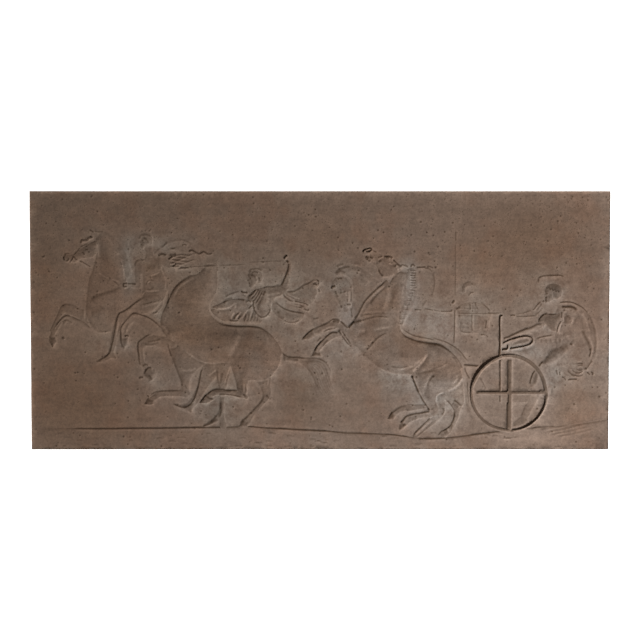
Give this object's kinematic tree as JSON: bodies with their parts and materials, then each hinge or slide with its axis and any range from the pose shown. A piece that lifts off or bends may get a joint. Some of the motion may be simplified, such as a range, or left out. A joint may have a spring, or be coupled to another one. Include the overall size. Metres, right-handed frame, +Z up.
{
  "type": "sunk relief frieze panel",
  "caption": "Rectangular plaster wall panel with a very low sunk relief of riders, galloping horses and a chariot; flat back against the wall.",
  "frame": {"origin": "middle of the flat back, where it lies against the wall", "axes": "+X along the panel to the right as one faces it, +Y out of the back into the wall, +Z up"},
  "size_m": [0.9, 0.035, 0.402],
  "materials": {
    "tinted_plaster": "matt tinted plaster, warm brown, with greyer haze around the figures, small pits and worn edges"
  },
  "bodies": {
    "root": {"frieze_panel": "tinted_plaster"}
  },
  "joints": []
}
